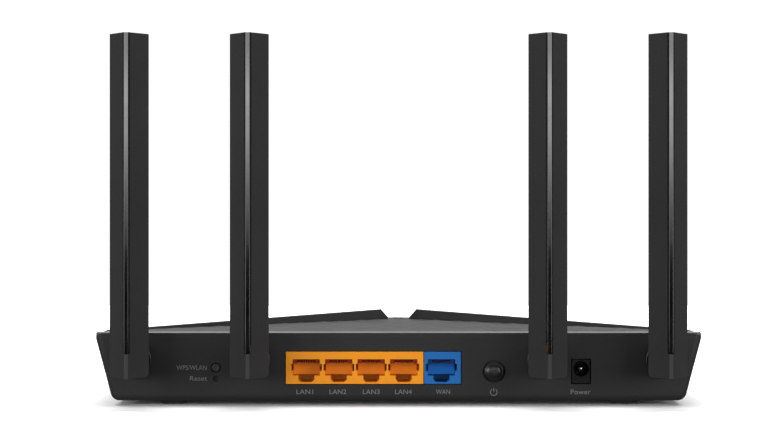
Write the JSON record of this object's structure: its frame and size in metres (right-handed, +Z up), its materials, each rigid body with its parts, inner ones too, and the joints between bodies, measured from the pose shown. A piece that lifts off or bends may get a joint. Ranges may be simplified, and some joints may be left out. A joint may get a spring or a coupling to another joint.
{
  "type": "wireless router",
  "caption": "Low black wireless router with folding wedge antennas, orange and blue network sockets, power inlet and push buttons on its rear wall.",
  "frame": {"origin": "on the plane the feet stand on, at the middle of the box round the whole object with its antennas upright", "axes": "+X along the width, to the right seen from the front; +Y towards the wall with the sockets and the antennas; +Z up"},
  "size_m": [0.2616, 0.163, 0.1589],
  "materials": {
    "casing": "fine matte moulded texture, charcoal black",
    "deck": "satin black with a shallow relief of large diamonds",
    "wing": "satin to semi-gloss black",
    "sleeve": "matte charcoal moulded plastic",
    "gloss": "polished black",
    "orange": "satin orange moulded socket plastic",
    "blue": "satin blue moulded socket plastic",
    "gold": "gold-plated contact springs",
    "steel": "plated steel",
    "tin": "tinned sheet",
    "rubber": "black rubber",
    "board": "green solder mask on glass-fibre board",
    "black_plastic": "plain black engineering plastic",
    "clear": "milky clear light-guide plastic",
    "coax": "thin grey jacketed coaxial lead",
    "aluminium": "anodised extruded fins"
  },
  "bodies": {
    "chassis": {"bottom_case": "casing", "top_cover": "deck", "wing_left": "wing", "wing_right": "wing", "light_guide": "clear", "foot_rear_left": "rubber", "foot_rear_right": "rubber", "foot_front_left": "rubber", "foot_front_right": "rubber", "case_screw_rear_left": "steel", "case_screw_rear_right": "steel", "case_screw_front_left": "steel", "case_screw_front_right": "steel", "power_jack_pin": "steel", "lan_jack_block": "orange", "wan_jack_block": "blue", "lan_contacts_1": "gold", "lan_contacts_2": "gold", "lan_contacts_3": "gold", "lan_contacts_4": "gold", "wan_contacts": "gold", "power_jack": "black_plastic", "power_switch": "black_plastic", "wps_switch": "black_plastic", "reset_switch": "black_plastic", "line_transformer_lan": "black_plastic", "line_transformer_wan": "black_plastic", "main_board": "board", "heatsink": "aluminium", "radio_shield_left": "tin", "radio_shield_right": "tin", "antenna_1_coax": "coax", "antenna_2_coax": "coax", "antenna_3_coax": "coax", "antenna_4_coax": "coax"},
    "antenna_1_swivel": {"antenna_1_mount": "black_plastic"},
    "antenna_1": {"antenna_1_sleeve": "sleeve", "antenna_1_strip": "gloss", "antenna_1_radiator": "board", "antenna_1_hinge_pin": "steel"},
    "antenna_2_swivel": {"antenna_2_mount": "black_plastic"},
    "antenna_2": {"antenna_2_sleeve": "sleeve", "antenna_2_strip": "gloss", "antenna_2_radiator": "board", "antenna_2_hinge_pin": "steel"},
    "antenna_3_swivel": {"antenna_3_mount": "black_plastic"},
    "antenna_3": {"antenna_3_sleeve": "sleeve", "antenna_3_strip": "gloss", "antenna_3_radiator": "board", "antenna_3_hinge_pin": "steel"},
    "antenna_4_swivel": {"antenna_4_mount": "black_plastic"},
    "antenna_4": {"antenna_4_sleeve": "sleeve", "antenna_4_strip": "gloss", "antenna_4_radiator": "board", "antenna_4_hinge_pin": "steel"},
    "power_button_cap": {"power_button": "gloss"},
    "wps_button_cap": {"wps_button": "casing"},
    "reset_button": {"reset_plunger": "black_plastic"}
  },
  "joints": [
    {"name": "antenna_1_turn", "type": "hinge", "parent": "chassis", "child": "antenna_1_swivel", "pos_m": [-0.1142, 0.0535, 0.0197], "axis": [0, 1, 0], "range_deg": [-90, 12]},
    {"name": "antenna_1_fold", "type": "hinge", "parent": "antenna_1_swivel", "child": "antenna_1", "pos_m": [-0.1142, 0.0735, 0.0197], "axis": [-1, 0, 0], "range_deg": [0, 90]},
    {"name": "antenna_2_turn", "type": "hinge", "parent": "chassis", "child": "antenna_2_swivel", "pos_m": [-0.0633, 0.0535, 0.0197], "axis": [0, 1, 0], "range_deg": [-12, 50]},
    {"name": "antenna_2_fold", "type": "hinge", "parent": "antenna_2_swivel", "child": "antenna_2", "pos_m": [-0.0633, 0.0735, 0.0197], "axis": [-1, 0, 0], "range_deg": [0, 90]},
    {"name": "antenna_3_turn", "type": "hinge", "parent": "chassis", "child": "antenna_3_swivel", "pos_m": [0.0633, 0.0535, 0.0197], "axis": [0, 1, 0], "range_deg": [-50, 12]},
    {"name": "antenna_3_fold", "type": "hinge", "parent": "antenna_3_swivel", "child": "antenna_3", "pos_m": [0.0633, 0.0735, 0.0197], "axis": [-1, 0, 0], "range_deg": [0, 90]},
    {"name": "antenna_4_turn", "type": "hinge", "parent": "chassis", "child": "antenna_4_swivel", "pos_m": [0.1142, 0.0535, 0.0197], "axis": [0, 1, 0], "range_deg": [-12, 90]},
    {"name": "antenna_4_fold", "type": "hinge", "parent": "antenna_4_swivel", "child": "antenna_4", "pos_m": [0.1142, 0.0735, 0.0197], "axis": [-1, 0, 0], "range_deg": [0, 90]},
    {"name": "power_button_press", "type": "slide", "parent": "chassis", "child": "power_button_cap", "axis": [0, -1, 0], "range_m": [0, 0.0018], "stiffness_N_per_m": 700, "springref_m": -0.0006},
    {"name": "wps_button_press", "type": "slide", "parent": "chassis", "child": "wps_button_cap", "axis": [0, -1, 0], "range_m": [0, 0.0005], "stiffness_N_per_m": 1500, "springref_m": -0.0003},
    {"name": "reset_plunger_press", "type": "slide", "parent": "chassis", "child": "reset_button", "axis": [0, -1, 0], "range_m": [0, 0.0004], "stiffness_N_per_m": 1500, "springref_m": -0.0003}
  ]
}
